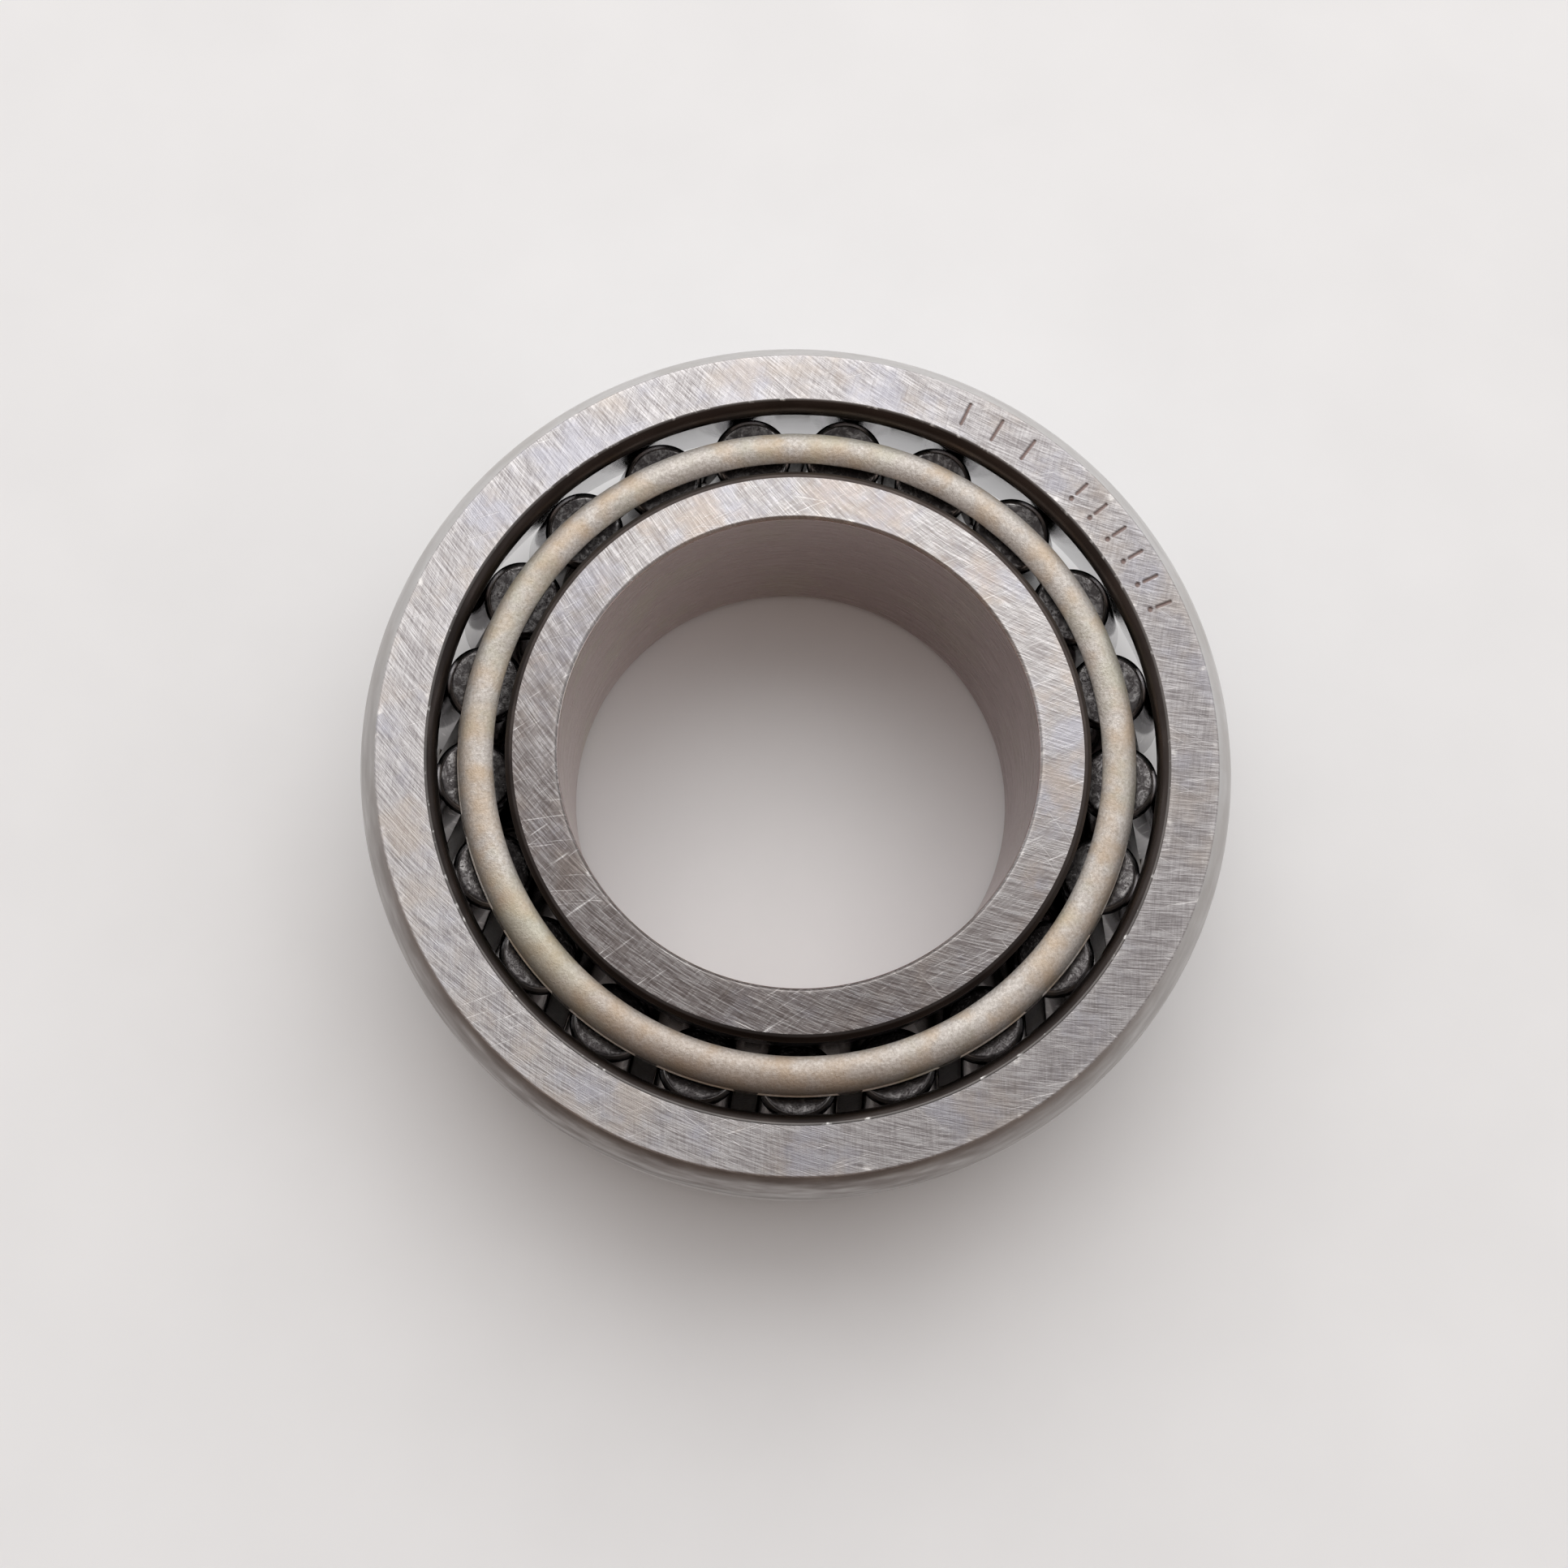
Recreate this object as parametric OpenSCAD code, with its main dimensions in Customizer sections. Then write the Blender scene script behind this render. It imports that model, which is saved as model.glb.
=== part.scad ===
// Single-row tapered roller bearing, 30 x 55 x 17 mm, in millimetres and degrees.
// The origin is the centre of the inner ring's back face, which stands on z = 0.
// +Z runs up the axis, out through the outer ring's back face.
// All raceways and rollers are cones that share one apex on the axis, above the bearing,
// so the rollers roll without sliding.  Profiles are drawn with x as the radius and y as z.

/* [Boundary sizes] */
// Bore diameter of the inner ring
bore_d = 30; // [29:0.1:31]
// Outside diameter of the outer ring
outer_d = 55; // [54.5:0.1:57]
// Height from the inner ring's back face to the outer ring's back face
total_width = 17; // [16.6:0.1:18]
// Width of the outer ring
cup_width = 13; // [12:0.1:13]

/* [Raceways] */
// Angle between the axis and the outer raceway
contact_angle = 16; // [15.5:0.1:16.5]
// Diameter of the outer raceway, carried on up to the outer ring's back face
cup_small_d = 44.44; // [44.2:0.02:44.8]
// Half angle of a roller's taper
taper_angle = 1.75; // [1.6:0.05:1.8]

/* [Rollers] */
// Number of rollers
roller_count = 21; // [18:1:21]
// Length of a roller
roller_length = 11.7; // [11:0.1:11.8]
// Height of the centre of a roller's small end
roller_top = 14.5; // [14.3:0.05:14.6]
// Bevel at the small end
small_bevel = 0.35; // [0.2:0.05:0.4]
// Bevel at the large end
large_bevel = 0.4; // [0.3:0.05:0.5]
// Radius of the lathe centre mark in the large end
centre_mark_r = 1.1; // [0.8:0.1:1.4]
// Angle of the first roller, counted from +X
first_roller = 12.5; // [0:0.5:17]

/* [Inner ring] */
// Diameter of the small rib that keeps the rollers on
small_rib_d = 36.6; // [36.4:0.1:37]
// Diameter of the large rib that guides the rollers' large ends
large_rib_d = 43; // [42:0.1:43.5]
// Bevel between the small rib and the front face
rib_bevel = 0.3; // [0.2:0.05:0.5]
// Bevel between the bore and the front face
bore_bevel = 0.2; // [0.1:0.05:0.4]
// Radius of the bore's corner at the back face
bore_corner = 1.3; // [0.8:0.1:1.5]
// Radius of the large rib's corner at the back face
rib_corner = 0.5; // [0.3:0.1:0.8]
// Radius of the grinding grooves at both ends of the raceway
groove_r = 0.3; // [0.2:0.05:0.35]

/* [Outer ring] */
// Radius of the outer corner at the back face
back_corner = 3; // [2.6:0.1:3.2]
// Height of that corner, which meets the back face at an edge
back_corner_depth = 2.47; // [2.2:0.01:2.55]
// Radius of the outer corner at the thin front face
front_corner = 0.8; // [0.5:0.1:0.9]
// Radius of the rounded mouth between back face and raceway
mouth_round = 1.12; // [1.05:0.01:1.3]
// Depth of the mouth below the back face
mouth_depth = 1; // [0.9:0.05:1.04]
// Bevel on the raceway's edge at the front face
front_edge = 0.3; // [0.2:0.05:0.4]

/* [Stamped marks] */
// Depth of the marks in the outer ring's back face
mark_depth = 0.06; // [0.03:0.01:0.1]
// Height of a tall mark, along the radius
mark_height = 1.7; // [1:0.1:2]
// Width of a mark's stroke
mark_stroke = 0.2; // [0.1:0.02:0.3]
// Radius of the circle that the marks stand on
mark_circle = 24.75; // [24.6:0.05:24.9]

/* [Cage] */
// Thickness of the cage's sheet
sheet = 0.9; // [0.7:0.05:0.95]
// Distance from the rollers' axes out to the middle of the sheet
cage_stand_off = 0.81; // [0.75:0.01:0.9]
// Outer radius of the curled bead at the small end
bead_r = 1.29; // [1.1:0.01:1.32]
// Angle by which the bead's curl stops short of a half turn
bead_open = 38; // [0:1:44]
// Height of the top of the bead
bead_top = 16.75; // [16.6:0.05:16.9]
// Gap between a pocket's sides and its roller
pocket_gap = 0.12; // [0.08:0.01:0.15]
// Gap between a pocket's ends and its roller
pocket_end_gap = 0.25; // [0.15:0.05:0.3]
// Width of the solid ring beyond the rollers' large ends
end_ring = 1.5; // [1.2:0.1:1.7]

/* [Running gaps] */
// Gap between a roller and each raceway
running_gap = 0.02; // [0.01:0.005:0.05]
// Gap between a roller's large end and the large rib
rib_gap = 0.04; // [0.02:0.01:0.08]
// Gap between a roller's small end and the small rib
small_rib_gap = 0.35; // [0.25:0.05:0.4]

/* [Hidden] */
$fn = 180;
bore_r = bore_d / 2;
outer_r = outer_d / 2;
cup_front = total_width - cup_width;
axis_angle = contact_angle - taper_angle;
apex_z = total_width + cup_small_d / 2 / tan(contact_angle);
roller_start = (apex_z - roller_top) / cos(axis_angle);
pitch_angle = 360 / roller_count;
cut_margin = 1;
tall_marks = [63.9, 58.6, 53.1];
short_marks = [43.2, 39.1, 34.8, 30.6, 26.4, 22.1];

// A point s along a roller's axis from its small end and w out from that axis, as [radius, z]
function by_roller(s, w) = [
    (roller_start + s) * sin(axis_angle) + w * cos(axis_angle),
    apex_z - (roller_start + s) * cos(axis_angle) + w * sin(axis_angle)
];
// How far out from the roller's axis a radius lies, at s along it
function out_to(radius, s) = (radius - by_roller(s, 0)[0]) / cos(axis_angle);
// Radius of a roller at s along its axis
function roller_r(s) = (roller_start + s) * tan(taper_angle);
// Radius of the outer raceway at height z
function cup_track_r(z) = (apex_z - z) * tan(contact_angle) + running_gap / cos(contact_angle);
function roller_name(i) = str("roller_", i < 10 ? "0" : "", i);

// What a turning tool takes off a corner at the origin to leave the radius r there.
// The arc meets the upright side smoothly, depth away from the corner; where depth is less
// than r it meets the other side at an edge.  dir points from the corner into the metal.
module corner_cut(r, dir, depth) {
    mirror([dir[0] < 0 ? 1 : 0, 0, 0])
        mirror([0, dir[1] < 0 ? 1 : 0, 0])
            difference() {
                translate([-cut_margin, -cut_margin]) square([r + cut_margin, depth + cut_margin]);
                translate([r, depth]) circle(r);
            }
}

// Outer ring: a plain ring whose inside is the outer raceway
module cup_profile() {
    throat_z = total_width - mouth_depth;
    throat_r = cup_track_r(throat_z);
    edge_r = cup_track_r(cup_front + front_edge);
    difference() {
        polygon([
            [throat_r, total_width],
            [throat_r, throat_z],
            [edge_r, cup_front + front_edge],
            [edge_r + front_edge, cup_front],
            [outer_r, cup_front],
            [outer_r, total_width]
        ]);
        translate([outer_r, total_width]) corner_cut(back_corner, [-1, -1], back_corner_depth);
        translate([outer_r, cup_front]) corner_cut(front_corner, [-1, 1], front_corner);
        translate([throat_r, total_width]) corner_cut(mouth_round, [1, -1], mouth_depth);
    }
}

// One stamped stroke: a bar with round ends, length along the radius
module stroke(length) {
    half = (length - mark_stroke) / 2;
    translate([-half, -mark_stroke / 2, 0]) cube([2 * half, mark_stroke, 2 * mark_depth]);
    for (x = [-half, half]) translate([x, 0, 0]) cylinder(d = mark_stroke, h = 2 * mark_depth, $fn = 24);
}

// Plain tally marks: three tall bars, then six short bars with a dot inside each
module marks() {
    translate([0, 0, total_width - mark_depth]) {
        for (a = tall_marks) rotate(a) translate([mark_circle, 0, 0]) stroke(mark_height);
        for (a = short_marks) rotate(a) {
            translate([mark_circle + mark_height / 6, 0, 0]) stroke(mark_height * 2 / 3);
            translate([mark_circle - mark_height / 2 + mark_stroke, 0, 0])
                cylinder(d = mark_stroke * 1.6, h = 2 * mark_depth, $fn = 24);
        }
    }
}

module cup() {
    color("#b9b4b2") difference() {
        rotate_extrude() cup_profile();
        marks();
    }
}

// Inner ring: bore, inner raceway and the two ribs that hold the rollers
module cone_profile() {
    small_s = -small_rib_gap;
    large_s = roller_length + rib_gap;
    small_corner = by_roller(small_s, -roller_r(small_s) - running_gap);
    large_corner = by_roller(large_s, -roller_r(large_s) - running_gap);
    small_rib_r = small_rib_d / 2;
    large_rib_r = large_rib_d / 2;
    difference() {
        polygon([
            [bore_r, 0],
            [large_rib_r, 0],
            by_roller(large_s, out_to(large_rib_r, large_s)),
            large_corner,
            small_corner,
            by_roller(small_s, out_to(small_rib_r, small_s)),
            [small_rib_r, total_width - rib_bevel],
            [small_rib_r - rib_bevel, total_width],
            [bore_r + bore_bevel, total_width],
            [bore_r, total_width - bore_bevel]
        ]);
        translate([bore_r, 0]) corner_cut(bore_corner, [1, 1], bore_corner);
        translate([large_rib_r, 0]) corner_cut(rib_corner, [-1, 1], rib_corner);
        translate(small_corner) circle(groove_r);
        translate(large_corner) circle(groove_r);
    }
}

module cone() {
    color("#a8a2a0") rotate_extrude() cone_profile();
}

// Cage sheet in section: a conical wall just outside the rollers' axes and a curled bead on top.
// The block around them is drawn with square corners, then the bead's outside and inside are cut.
module cage_profile() {
    wall_out = cage_stand_off + sheet / 2;
    wall_in = cage_stand_off - sheet / 2;
    bead_w = wall_out - bead_r;
    bead_s = (roller_top + bead_w * sin(axis_angle) - bead_top + bead_r) / cos(axis_angle);
    bead = by_roller(bead_s, bead_w);
    wall_end = roller_length + pocket_end_gap + end_ring;
    difference() {
        polygon([
            bead,
            bead + bead_r * [-1, tan(bead_open)],
            bead + bead_r * [-1, 1],
            bead + bead_r * [tan(45 - axis_angle / 2), 1],
            by_roller(wall_end, wall_out),
            by_roller(wall_end, wall_in),
            by_roller(bead_s, wall_in)
        ]);
        translate(bead) circle(bead_r - sheet);
        translate(bead) difference() {
            polygon(2 * bead_r * [[0, 0], [-1, 0], [-1, 1], [1, 1], [cos(axis_angle), sin(axis_angle)]]);
            circle(bead_r);
        }
    }
}

// Stands what is drawn along +Z on a roller's axis, small end first, at roller i
module at_roller(i, s = 0) {
    start = by_roller(s, 0);
    rotate([0, 0, first_roller + (i - 1) * pitch_angle])
        translate([start[0], 0, start[1]])
            rotate([0, 180 - axis_angle, 0])
                children();
}

module cage() {
    small_s = -pocket_end_gap;
    large_s = roller_length + pocket_end_gap;
    color("#c4bcb0") difference() {
        rotate_extrude() cage_profile();
        for (i = [1:roller_count])
            at_roller(i, small_s)
                cylinder(
                    r1 = roller_r(small_s) + pocket_gap,
                    r2 = roller_r(large_s) + pocket_gap,
                    h = large_s - small_s
                );
    }
}

// Tapered roller with bevelled ends and a shallow centre mark in the large end
module roller(i) {
    small_r = roller_r(0);
    large_r = roller_r(roller_length);
    color("#8f8c8c") at_roller(i) rotate_extrude($fn = 96) polygon([
        [0, 0],
        [small_r - small_bevel, 0],
        [roller_r(small_bevel), small_bevel],
        [roller_r(roller_length - large_bevel), roller_length - large_bevel],
        [large_r - large_bevel, roller_length],
        [centre_mark_r, roller_length],
        [0, roller_length - centre_mark_r / 5]
    ]);
}

cup();
cone();
cage();
for (i = [1:roller_count])
    roller(i);
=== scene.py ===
import bpy
import numpy as np
from mathutils import Matrix, Vector


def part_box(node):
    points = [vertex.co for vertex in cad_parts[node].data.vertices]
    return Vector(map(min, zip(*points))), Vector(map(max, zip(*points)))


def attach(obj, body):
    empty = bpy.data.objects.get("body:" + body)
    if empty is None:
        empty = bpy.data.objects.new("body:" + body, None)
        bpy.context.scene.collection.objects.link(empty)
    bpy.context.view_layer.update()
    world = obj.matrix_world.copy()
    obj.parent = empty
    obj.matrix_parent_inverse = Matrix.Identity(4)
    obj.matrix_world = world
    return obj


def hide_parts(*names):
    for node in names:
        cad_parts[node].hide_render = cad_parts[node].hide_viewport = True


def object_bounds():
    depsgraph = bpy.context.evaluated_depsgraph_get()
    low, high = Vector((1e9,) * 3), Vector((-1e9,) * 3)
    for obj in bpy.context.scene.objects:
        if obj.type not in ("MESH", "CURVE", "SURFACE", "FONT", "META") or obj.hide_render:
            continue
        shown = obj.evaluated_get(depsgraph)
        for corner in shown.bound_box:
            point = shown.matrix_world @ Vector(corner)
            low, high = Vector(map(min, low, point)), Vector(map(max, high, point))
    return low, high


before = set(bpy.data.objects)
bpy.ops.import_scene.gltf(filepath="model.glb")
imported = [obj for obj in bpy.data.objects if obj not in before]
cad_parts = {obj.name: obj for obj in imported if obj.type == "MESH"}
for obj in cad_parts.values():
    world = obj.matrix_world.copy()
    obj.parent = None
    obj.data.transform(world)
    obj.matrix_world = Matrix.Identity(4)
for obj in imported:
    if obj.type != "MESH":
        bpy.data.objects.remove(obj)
cad_box = [list(corner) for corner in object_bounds()]

# ---------------------------------------------------------------------------------------------
# Camera.  A hand-held close view from a little on the near side of straight above, so that the
# far side of the bore shows its wall.  It has no shift and no depth of field.
# ---------------------------------------------------------------------------------------------
top_of_part = cad_box[1][2]
camera_place = (-0.004615, -0.029152, top_of_part + 0.119197)
camera_tilt = Vector((0.221, -0.030, 0.0))
sensor_width = 36.0
lens_length = 45.35
nearest_seen = 0.005

camera_data = bpy.data.cameras.new("camera")
camera_data.sensor_width = sensor_width
camera_data.lens = lens_length
camera_data.clip_start = nearest_seen
camera = bpy.data.objects.new("camera", camera_data)
bpy.context.scene.collection.objects.link(camera)
camera.matrix_world = Matrix.Translation(camera_place) @ Matrix.Rotation(camera_tilt.length, 4, camera_tilt)
bpy.context.scene.camera = camera
bpy.context.scene.view_settings.view_transform = "Standard"

# ---------------------------------------------------------------------------------------------
# Studio.  A plain pale table top, a pale room that is warmer and dimmer on the near side and
# shaded straight overhead, and one large soft light above the far side.
# ---------------------------------------------------------------------------------------------
table_colour = (0.87, 0.87, 0.872)
table_roughness = 0.55
table_half = 1.5
mottles_per_metre = 90.0
mottle_dimming = 0.97


def add_node(tree, kind, values=None, **settings):
    """One node with its plain settings.  Each value is a number for that input, or a socket that
    feeds it."""
    node = tree.nodes.new(kind)
    for name, value in settings.items():
        setattr(node, name, value)
    for name, value in (values or {}).items():
        if isinstance(value, bpy.types.NodeSocket):
            tree.links.new(value, node.inputs[name])
        else:
            node.inputs[name].default_value = value
    return node


def calculated(tree, operation, *values):
    """The outcome of one sum on numbers and sockets, in the order that the operation takes them."""
    return add_node(tree, "ShaderNodeMath", dict(enumerate(values)), operation=operation).outputs["Value"]


def combined(tree, operation, first, second):
    """The outcome of one sum on two vectors: a number for their product along each other, or a vector."""
    node = add_node(tree, "ShaderNodeVectorMath", {0: first, 1: second}, operation=operation)
    return node.outputs["Value" if operation == "DOT_PRODUCT" else "Vector"]


def scaled(tree, vector, scale):
    """A vector, or a colour, times a number."""
    return add_node(
        tree, "ShaderNodeVectorMath", {0: vector, "Scale": scale}, operation="SCALE"
    ).outputs["Vector"]


def noise_at(tree, place, scale, detail, rough=0.5, twist=0.0):
    """Cloudy noise between 0 and 1, with about scale clouds to each unit of the place's length."""
    values = {"Vector": place, "Scale": scale, "Detail": detail, "Roughness": rough, "Distortion": twist}
    return add_node(tree, "ShaderNodeTexNoise", values).outputs["Fac"]


def in_range(tree, value, low, high, new_low=0.0, new_high=1.0, easing="LINEAR"):
    """A value moved in proportion from one range to another, and kept inside it."""
    values = {"Value": value, "From Min": low, "From Max": high, "To Min": new_low, "To Max": new_high}
    return add_node(tree, "ShaderNodeMapRange", values, interpolation_type=easing).outputs["Result"]


table_mesh = bpy.data.meshes.new("table_top")
table_corners = table_half * np.array([[-1, -1, 0], [1, -1, 0], [1, 1, 0], [-1, 1, 0]], float)
table_mesh.from_pydata(table_corners.tolist(), [], [[0, 1, 2, 3]])
table = bpy.data.objects.new("table_top", table_mesh)
bpy.context.scene.collection.objects.link(table)

table_paint = bpy.data.materials.new("pale_table")
table_paint.use_nodes = True
tree = table_paint.node_tree
shader = tree.nodes["Principled BSDF"]
mottle = noise_at(tree, add_node(tree, "ShaderNodeTexCoord").outputs["Object"], mottles_per_metre, 3.0)
tone = in_range(tree, mottle, 0.3, 0.7, mottle_dimming, 1.0)
tree.links.new(scaled(tree, table_colour, tone), shader.inputs["Base Color"])
shader.inputs["Roughness"].default_value = table_roughness
table_mesh.materials.append(table_paint)

lean_to_right = 0.22
room_stops = [
    (0.00, (0.16, 0.115, 0.09)),
    (0.32, (0.34, 0.28, 0.25)),
    (0.50, (0.80, 0.79, 0.79)),
    (0.68, (0.95, 0.95, 0.96)),
    (1.00, (1.00, 1.00, 1.00)),
]
shaded_way = (0.13, 0.05, 0.99)
shade_starts, shade_full = 0.93, 0.985
open_strength, shaded_strength = 1.1, 0.62

room = bpy.data.worlds.new("pale_room")
bpy.context.scene.world = room
room.use_nodes = True
tree = room.node_tree
direction = add_node(tree, "ShaderNodeTexCoord").outputs["Generated"]
axes = add_node(tree, "ShaderNodeSeparateXYZ", {"Vector": direction}).outputs
far_and_right = calculated(tree, "MULTIPLY_ADD", axes["X"], lean_to_right, axes["Y"])
room_ramp = add_node(tree, "ShaderNodeValToRGB", {"Fac": in_range(tree, far_and_right, -1.0, 1.0)})
for stop, _ in room_stops[1:-1]:
    room_ramp.color_ramp.elements.new(stop)
for element, (stop, colour) in zip(room_ramp.color_ramp.elements, room_stops):
    element.position = stop
    element.color = (*colour, 1.0)
overhead = combined(tree, "DOT_PRODUCT", direction, shaded_way)
shade = in_range(tree, overhead, shade_starts, shade_full, open_strength, shaded_strength, "SMOOTHSTEP")
tree.links.new(room_ramp.outputs["Color"], tree.nodes["Background"].inputs["Color"])
tree.links.new(shade, tree.nodes["Background"].inputs["Strength"])

window_width, window_depth = 1.35, 1.15
window_power = 5.4
window_colour = (1.0, 0.985, 0.97)
window_place = Vector((0.05, 0.74, 0.84))

window_data = bpy.data.lights.new("window_light", "AREA")
window_data.shape = "RECTANGLE"
window_data.size = window_width
window_data.size_y = window_depth
window_data.energy = window_power
window_data.color = window_colour
window = bpy.data.objects.new("window_light", window_data)
bpy.context.scene.collection.objects.link(window)
window_turn = window_place.to_track_quat("Z", "Y").to_matrix().to_4x4()
window.matrix_world = Matrix.Translation(window_place) @ window_turn

# ---------------------------------------------------------------------------------------------
# Inner ring, the cone.  Bearing steel, turned, hardened and ground: bore, raceway, large rib and
# the two faces.  The small rib stays dark from the furnace, and is painted darker still as the
# shade in the gap under the cage.  It stands on its back face.
# ---------------------------------------------------------------------------------------------
MM = 0.001
outer_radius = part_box("cup")[1].x / MM
width = top_of_part / MM
cup_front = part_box("cup")[0].z / MM
bore_radius = 15.0
small_rib_radius = 18.3
large_rib_radius = 21.5
groove_radius = 0.3
contact_angle = np.radians(16.0)
taper_angle = np.radians(1.75)
axis_angle = contact_angle - taper_angle
track_radius_at_top = 22.22
apex = width + track_radius_at_top / np.tan(contact_angle)
roller_length = 11.7
roller_top = 14.5
roller_start = (apex - roller_top) / np.cos(axis_angle)
running_gap = 0.02
rib_gap = 0.04
small_rib_gap = 0.35
corner_points = 5
flats_begin = 1.8
crease_angle = np.radians(40)

along_roller = np.array([np.sin(axis_angle), -np.cos(axis_angle)])
off_roller = np.array([np.cos(axis_angle), np.sin(axis_angle)])


def by_roller(s, w):
    """Radius and height of the point s along a roller's axis from its small end and w out from it:
    the apex, plus the whole way along the axis, plus the way off it."""
    s, w = np.broadcast_arrays(np.asarray(s, float), np.asarray(w, float))
    base = np.array([0.0, apex])
    return base + (roller_start + s)[..., None] * along_roller + w[..., None] * off_roller


def roller_radius(s):
    """A roller's radius: its distance from the shared apex times the tangent of its taper."""
    return (roller_start + s) * np.tan(taper_angle)


def out_to(radius, s):
    """How far out from the roller's axis a radius lies: the rest of it past the axis, over the
    cosine of the axis's lean."""
    return (radius - by_roller(s, 0.0)[0]) / np.cos(axis_angle)


def arc(centre, radius, start, end, count):
    """Points on a circle: the centre, plus the radius times the cosine and sine of evenly spaced
    angles in degrees."""
    turn = np.radians(np.linspace(start, end, count))
    return np.asarray(centre) + radius * np.stack([np.cos(turn), np.sin(turn)], axis=1)


def corner(before, at, after, size):
    """A corner broken by hand stone: a short curve that leaves each side at size from the corner.
    Every point is the corner, plus the square of one less t times the way back, plus t squared
    times the way on.  One more point, a little further out on each side, keeps the flats flat."""
    before, at, after = (np.asarray(p, float) for p in (before, at, after))
    back = (before - at) / np.linalg.norm(before - at) * size
    ahead = (after - at) / np.linalg.norm(after - at) * size
    t = np.linspace(0, 1, corner_points)[:, None]
    curve = at + (1 - t) ** 2 * back + t**2 * ahead
    return np.vstack([at + flats_begin * back, curve, at + flats_begin * ahead])


def joined(parts):
    """Stacks the parts of a closed section one after another.  Each part is its points, its finish
    and whether it is an edge."""
    section = np.vstack([points for points, finish, edge in parts])
    finishes = np.concatenate([np.full(len(points), finish) for points, finish, edge in parts])
    edges = np.concatenate([np.full(len(points), edge, float) for points, finish, edge in parts])
    return section, finishes, edges


def carried_round(section, angles):
    """A section carried round the axis: radius r and height z at angle a give r cos a, r sin a, z."""
    across = np.stack([np.cos(angles), np.sin(angles)], axis=1)[:, None, :] * section[None, :, :1]
    height = np.broadcast_to(section[None, :, 1:], (len(angles), len(section), 1))
    return np.concatenate([across, height], axis=2)


def grid_faces(columns, rows, closed):
    """Corner numbers of the squares of a grid whose columns close on themselves.
    The rows close too, or else end in two poles, which are the two points after the grid."""
    a = np.arange(columns)[:, None]
    i = np.arange(rows if closed else rows - 1)[None, :]
    a2, i2 = (a + 1) % columns, (i + 1) % rows
    squares = np.stack([a * rows + i, a2 * rows + i, a2 * rows + i2, a * rows + i2], axis=-1).reshape(-1, 4)
    if closed:
        return squares, np.zeros((0, 3), int)
    first, last = columns * rows, columns * rows + 1
    a, a2 = a[:, 0], a2[:, 0]
    start = np.stack([np.full(columns, first), a2 * rows, a * rows], axis=1)
    end = np.stack([a * rows + rows - 1, a2 * rows + rows - 1, np.full(columns, last)], axis=1)
    return squares, np.vstack([start, end])


def make_piece(name, points, squares, triangles, finish_of_square, materials, marks):
    """A mesh in place from points in millimetres.  marks are named values, one for each point."""
    mesh = bpy.data.meshes.new(name)
    points = np.asarray(points, float).reshape(-1, 3) * MM
    corners = np.concatenate([squares.ravel(), triangles.ravel()]).astype(np.int32)
    starts = np.concatenate(
        [np.arange(len(squares)) * 4, len(squares) * 4 + np.arange(len(triangles)) * 3]
    ).astype(np.int32)
    mesh.vertices.add(len(points))
    mesh.vertices.foreach_set("co", points.astype(np.float32).ravel())
    mesh.loops.add(len(corners))
    mesh.loops.foreach_set("vertex_index", corners)
    mesh.polygons.add(len(starts))
    mesh.polygons.foreach_set("loop_start", starts)
    mesh.polygons.foreach_set("material_index", np.asarray(finish_of_square, np.int32))
    mesh.update(calc_edges=True)
    mesh.validate()
    for mark, values in marks.items():
        attribute = mesh.attributes.new(mark, "FLOAT", "POINT")
        attribute.data.foreach_set("value", np.asarray(values, np.float32).ravel())
    for material in materials:
        mesh.materials.append(material)
    mesh.shade_smooth()
    mesh.set_sharp_from_angle(angle=crease_angle)
    piece = bpy.data.objects.new(name, mesh)
    bpy.context.scene.collection.objects.link(piece)
    return piece


def new_group(name, inputs, outputs):
    """An empty shader node group with named number and vector sockets, and its two end nodes."""
    group = bpy.data.node_groups.new(name, "ShaderNodeTree")
    for label, kind in inputs:
        group.interface.new_socket(label, in_out="INPUT", socket_type=kind)
    for label, kind in outputs:
        group.interface.new_socket(label, in_out="OUTPUT", socket_type=kind)
    return group, group.nodes.new("NodeGroupInput").outputs, group.nodes.new("NodeGroupOutput").inputs


def use_group(tree, group, values):
    """One use of a shared effect, with its own values."""
    return add_node(tree, "ShaderNodeGroup", values, node_tree=group).outputs


# Lines left by a grinding wheel: noise that is fine across the wheel's arcs and long along them.
# Turned so that the lay is along x, a line is where y plus the bend times x squared stays the same.
wheel_lines, given, result = new_group(
    "wheel_lines",
    [
        ("Place", "NodeSocketVector"),
        ("Turn", "NodeSocketFloat"),
        ("Bend", "NodeSocketFloat"),
        ("Across", "NodeSocketFloat"),
        ("Along", "NodeSocketFloat"),
    ],
    [("Lines", "NodeSocketFloat")],
)
turned = add_node(
    wheel_lines,
    "ShaderNodeVectorRotate",
    {"Vector": given["Place"], "Angle": given["Turn"]},
    rotation_type="Z_AXIS",
)
axes = add_node(wheel_lines, "ShaderNodeSeparateXYZ", {"Vector": turned.outputs["Vector"]}).outputs
squared = calculated(wheel_lines, "MULTIPLY", axes["X"], axes["X"])
bent = calculated(wheel_lines, "MULTIPLY_ADD", squared, given["Bend"], axes["Y"])
across = calculated(wheel_lines, "MULTIPLY", bent, given["Across"])
along = calculated(wheel_lines, "MULTIPLY", axes["X"], given["Along"])
lay = add_node(wheel_lines, "ShaderNodeCombineXYZ", {"X": across, "Y": along, "Z": axes["Z"]})
wheel_lines.links.new(noise_at(wheel_lines, lay.outputs["Vector"], 1.0, 4.0, 0.7), result["Lines"])

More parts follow.
